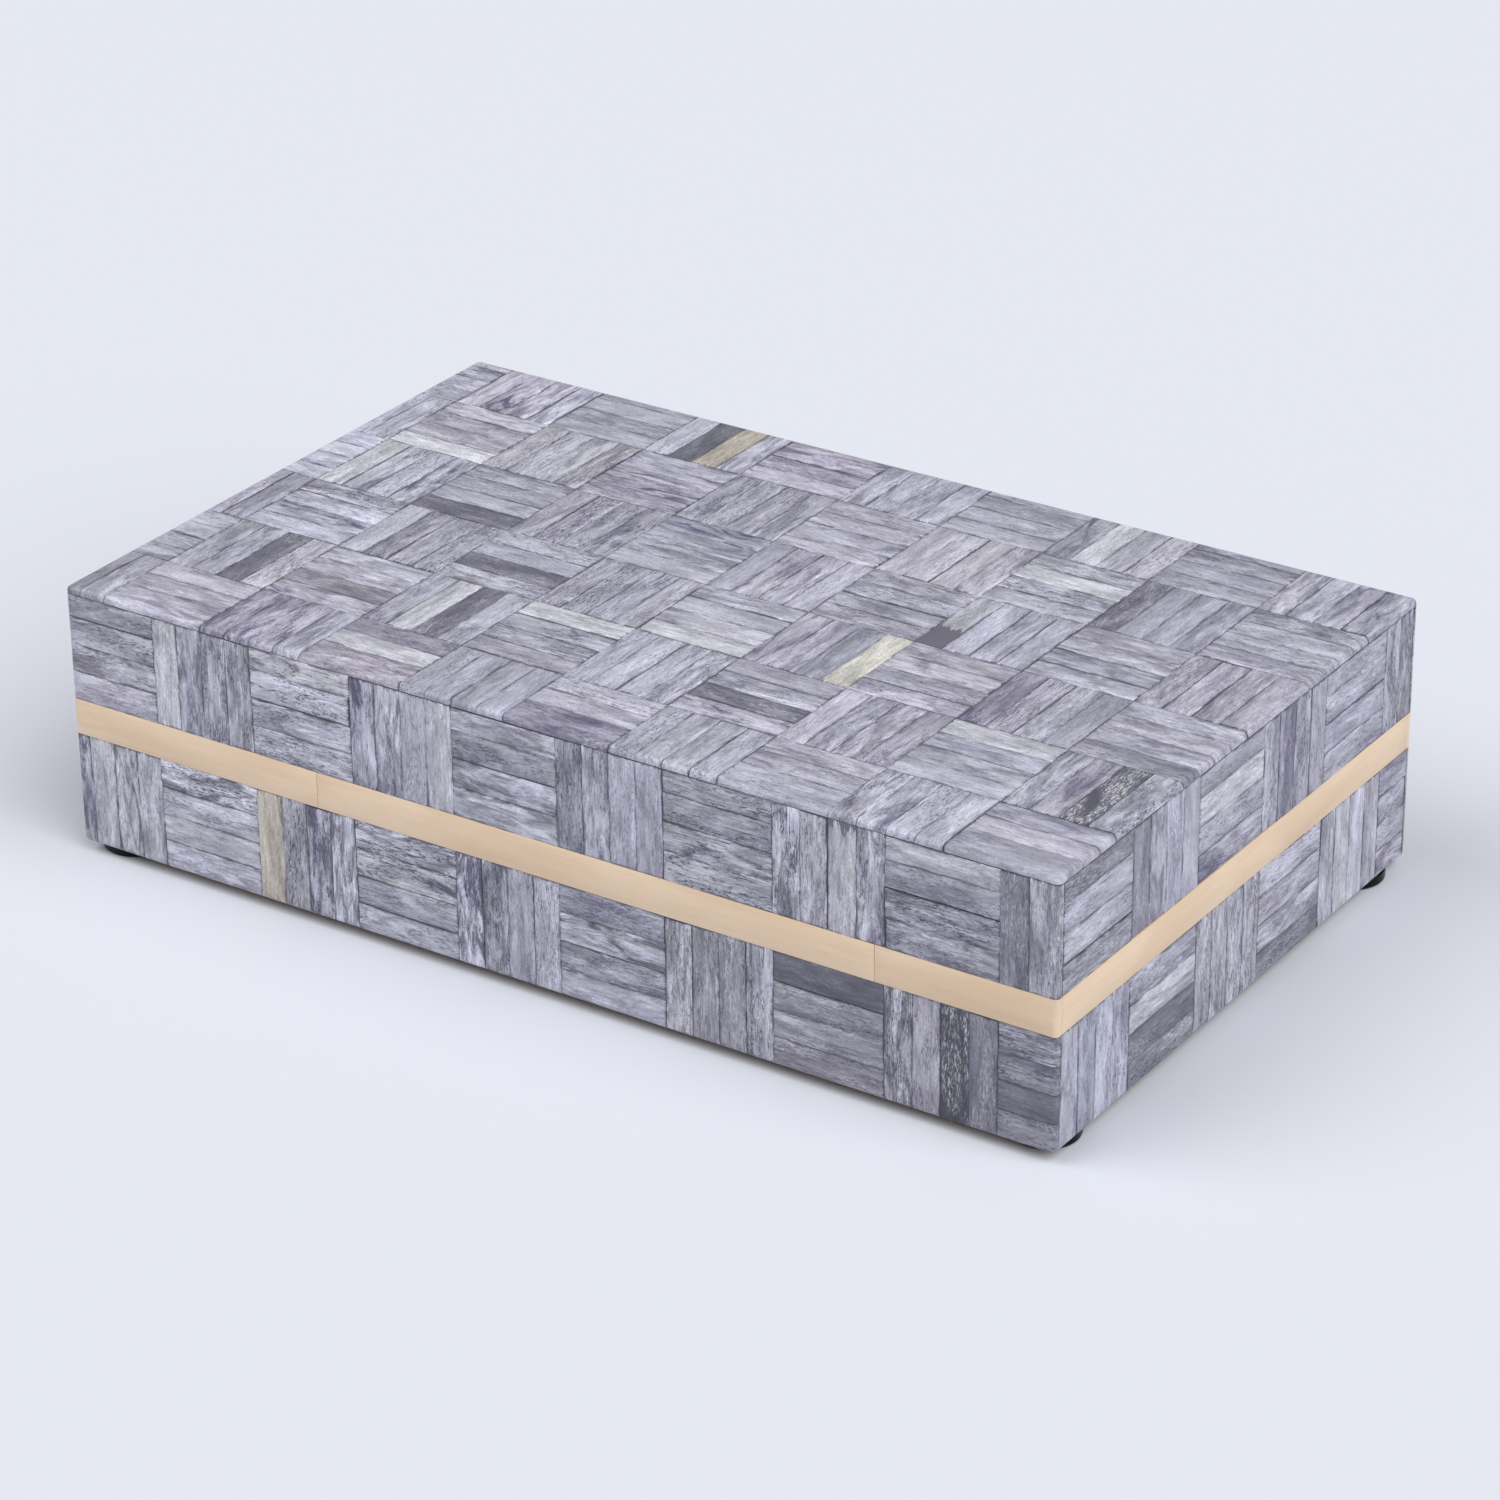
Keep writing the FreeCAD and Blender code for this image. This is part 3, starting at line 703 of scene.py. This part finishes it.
def inlay(part, face_name, shell, material):
    """All the strips of one face as one piece."""
    node = part + "_" + face_name + "_tiles"
    face = FACES[face_name]
    u_axis, v_axis = face[0], face[1]
    rng = random.Random(node)
    face_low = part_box(node)[0]
    tone_and_painted_light = FACE_TONE_AND_PAINTED_LIGHT.get(part + "_" + face_name, (1.0, 1.2, 0.0))
    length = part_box(node)[1][u_axis] - face_low[u_axis]
    wanted = [a[1:] for a in ACCENTS if a[0] == part + "_" + face_name]
    bm = bmesh.new()
    layers = new_layers(bm)
    boxes = strip_boxes(node)
    for group in blocks(boxes, u_axis, v_axis):
        tone = block_tone(rng, tone_and_painted_light)
        strips = sorted(group["strips"], key=lambda n: boxes[n][0][group["across"]])
        for number in strips:
            low, high = boxes[number]
            from_low, to_high = low - face_low, high - face_low
            own = random.Random("%s %d" % (node, number))
            accent = None
            for u, v, *kind in wanted:
                inside_u = from_low[u_axis] <= u * MM <= to_high[u_axis]
                if inside_u and from_low[v_axis] <= v * MM <= to_high[v_axis]:
                    accent = kind
            outer = [shell.outer(u_axis, low[u_axis], False), shell.outer(u_axis, high[u_axis], True),
                     shell.outer(v_axis, low[v_axis], False), shell.outer(v_axis, high[v_axis], True)]
            offset = Vector([own.uniform(0, 400) for _ in range(3)])
            slack = corner_slack(own, outer, group["along"] == u_axis,
                                 number == strips[0], number == strips[-1])
            slab(bm, layers, low, high, face, shell, slack, (group["along"], offset),
                 strip_values(own, tone_and_painted_light, tone, accent, (from_low + to_high)[u_axis] / 2 / length))
    return finish_piece(bm, part + "_" + face_name + "_inlay", material, part, "bone", node,
                        seats=node == "lid_back_tiles")


# --------------------------------------------------------------------- lining

def pad(node, material):
    """A velvet panel: cloth drawn over a thin padded card, rolled at its edges."""
    low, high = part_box(node)
    size = high - low
    n_axis = min(range(3), key=lambda i: size[i])
    u_axis, v_axis = [i for i in range(3) if i != n_axis]
    part = node.split("_")[0]
    middle = (low + high) / 2
    if n_axis == 2:
        sign = 1 if part == "base" else -1
    else:
        sign = -1 if middle[n_axis] > 0 else 1
    rng = random.Random(node)
    wander = Vector([rng.uniform(0, 90) for _ in range(3)])

    def stations(length):
        flat = length / MM - 2 * ROLL
        count = max(2, round(flat / 3.0))
        inner = [ROLL + flat * i / count for i in range(1, count)]
        return [s * MM for s in ROLL_LINES + inner] + [length - s * MM for s in reversed(ROLL_LINES)]

    us, vs = stations(size[u_axis]), stations(size[v_axis])
    thick = size[n_axis]
    bm = bmesh.new()

    def place(u, v, back):
        edge = min(u, size[u_axis] - u, v, size[v_axis] - v) / MM
        rise = math.sqrt(max(0.0, 1.0 - (1.0 - min(edge / ROLL, 1.0)) ** 2))
        soft = noise.noise(Vector((u, v, 0)) * 55.0 + wander)
        height = thick * (0.55 + 0.33 * rise + 0.12 * rise * soft)
        waist_u = WAIST * math.sin(math.pi * v / size[v_axis]) * (1 - 2 * u / size[u_axis])
        waist_v = WAIST * math.sin(math.pi * u / size[u_axis]) * (1 - 2 * v / size[v_axis])
        point = Vector(low)
        point[u_axis] += u + waist_u
        point[v_axis] += v + waist_v
        depth = 0.0 if back else height
        point[n_axis] = low[n_axis] + depth if sign > 0 else high[n_axis] - depth
        return bm.verts.new(point)

    face = [[place(u, v, False) for v in vs] for u in us]
    back = [[place(u, v, True) for v in vs] for u in us]
    nu, nv = len(us), len(vs)
    for i in range(nu - 1):
        for j in range(nv - 1):
            bm.faces.new((face[i][j], face[i + 1][j], face[i + 1][j + 1], face[i][j + 1]))
            bm.faces.new((back[i][j], back[i][j + 1], back[i + 1][j + 1], back[i + 1][j]))
    border = ([(i, 0) for i in range(nu - 1)] + [(nu - 1, j) for j in range(nv - 1)]
              + [(i, nv - 1) for i in range(nu - 1, 0, -1)] + [(0, j) for j in range(nv - 1, 0, -1)])
    for (i, j), (k, m) in zip(border, border[1:] + border[:1]):
        bm.faces.new((face[k][m], face[i][j], back[i][j], back[k][m]))
    bmesh.ops.recalc_face_normals(bm, faces=bm.faces)
    for polygon in bm.faces:
        polygon.smooth = True
    piece = finish_piece(bm, node + "_pad", material, part, "lining", node)


# ---------------------------------------------------------------------- build

def paint(material, *nodes):
    """Give CAD nodes that keep their shape a finished material."""
    for node in nodes:
        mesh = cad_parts[node].data
        mesh.materials.clear()
        mesh.materials.append(material)


def named(*endings):
    """The frame's nodes whose names end in one of these."""
    return [n for n in sorted(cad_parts) if n.endswith(endings)]


def band(shell):
    """The wooden band, one slab for each strip of wood, rounded at the box's corners."""
    wood = wood_material("band_wood", (0.752, 0.592, 0.436), (0.667, 0.495, 0.340), 0.7)
    rng = random.Random("band")
    sides = {"band_front_left": "front", "band_front_middle": "front", "band_front_right": "front",
             "band_back": "back", "band_left": "left", "band_right": "right"}
    for node, side in sides.items():
        low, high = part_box(node)
        face = FACES[side]
        bm = bmesh.new()
        layers = new_layers(bm)
        offset = Vector([rng.uniform(0, 400) for _ in range(3)])
        trim = 0.05 * MM
        slack = [(trim, trim), (-trim, trim), (trim, -trim), (-trim, -trim)]
        tone = rng.uniform(0.95, 1.0)
        slab(bm, layers, low, high, face, shell, slack, (face[0], offset),
             {"tint": (tone, tone * 0.99, tone * 0.98, 1), "look": (0, 0, 0), "chip": 0})
        finish_piece(bm, node + "_strip", wood, "base", "band_wood", node, seats=node == "band_back")


base_shell = Shell(["base_front_tiles", "base_back_tiles", "base_left_tiles", "base_right_tiles",
                    "band_front_left", "band_back"], True, False)
lid_shell = Shell(["lid_top_tiles", "lid_front_tiles", "lid_back_tiles"], False, True)

bone = bone_material()
for side in ("front", "back", "left", "right"):
    inlay("base", side, base_shell, bone)
for side in ("top", "front", "back", "left", "right"):
    inlay("lid", side, lid_shell, bone)

paint(filler_material(), *named("_filler"))
paint(board_material(), *named("_board", "_panel"))
velvet = velvet_material()
for lining_node in named("_lining"):
    pad(lining_node, velvet)
paint(brass_material("satin_brass", (0.70, 0.50, 0.22), (0.42, 0.28, 0.12)), *named("_leaf", "_pin"))
paint(brass_material("screw_brass", (0.36, 0.28, 0.17), (0.20, 0.15, 0.09)), *named("_screws"))
paint(rubber_material(), *[n for n in sorted(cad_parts) if n.startswith("foot_")])

band(base_shell)


# ----------------------------------------------------------------- stage

def stage():
    """A plain pale floor under soft light."""
    bpy.ops.mesh.primitive_plane_add(size=14.0, location=(0, 0, 0))
    floor = bpy.context.object
    floor.name = "floor"
    paper = Graph("pale_floor").finish(Base_Color=(0.640, 0.660, 0.718, 1.0), Roughness=0.9)
    floor.data.materials.append(paper)
    world = bpy.data.worlds.new("studio")
    bpy.context.scene.world = world
    world.use_nodes = True
    background = world.node_tree.nodes["Background"]
    background.inputs["Color"].default_value = (0.97, 0.98, 1.0, 1.0)
    background.inputs["Strength"].default_value = 0.30


def soft_light(name, azimuth, elevation, spread, strength):
    """A wide, even light from one direction, as from a large soft box."""
    a, e = math.radians(azimuth), math.radians(elevation)
    back = Vector((math.sin(a) * math.cos(e), -math.cos(a) * math.cos(e), math.sin(e)))
    data = bpy.data.lights.new(name, "SUN")
    data.energy = strength
    data.angle = math.radians(spread)
    lamp = bpy.data.objects.new(name, data)
    bpy.context.scene.collection.objects.link(lamp)
    lamp.location = back * 2.0
    lamp.rotation_mode = "QUATERNION"
    lamp.rotation_quaternion = (-back).to_track_quat("-Z", "Y")


def camera():
    """The product view: from the front right, above, through a long lens."""
    azimuth, elevation, roll = math.radians(33.8), math.radians(26.76), math.radians(-0.577)
    length = cad_box[1].x - cad_box[0].x
    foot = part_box("foot_front_left")[1].z
    target = Vector(VIEW_AIM) * length + Vector((0, 0, foot))
    back = Vector((math.sin(azimuth) * math.cos(elevation),
                   -math.cos(azimuth) * math.cos(elevation), math.sin(elevation)))
    side = (-back).cross(Vector((0, 0, 1))).normalized()
    up = side.cross(-back)
    right = side * math.cos(roll) + up * math.sin(roll)
    upward = up * math.cos(roll) - side * math.sin(roll)
    data = bpy.data.cameras.new("camera")
    data.lens = LENS
    data.sensor_width = 36.0
    data.clip_start, data.clip_end = 0.05, 50.0
    eye = bpy.data.objects.new("camera", data)
    bpy.context.scene.collection.objects.link(eye)
    turn = Matrix((right, upward, back)).transposed()
    eye.matrix_world = Matrix.Translation(target + back * VIEW_DISTANCE * length) @ turn.to_4x4()
    bpy.context.scene.camera = eye


stage()
soft_light("left_box", -45, 50, 45, 1.52)
soft_light("right_box", 76, 44, 55, 2.55)
camera()
bpy.context.scene.view_settings.view_transform = "Standard"
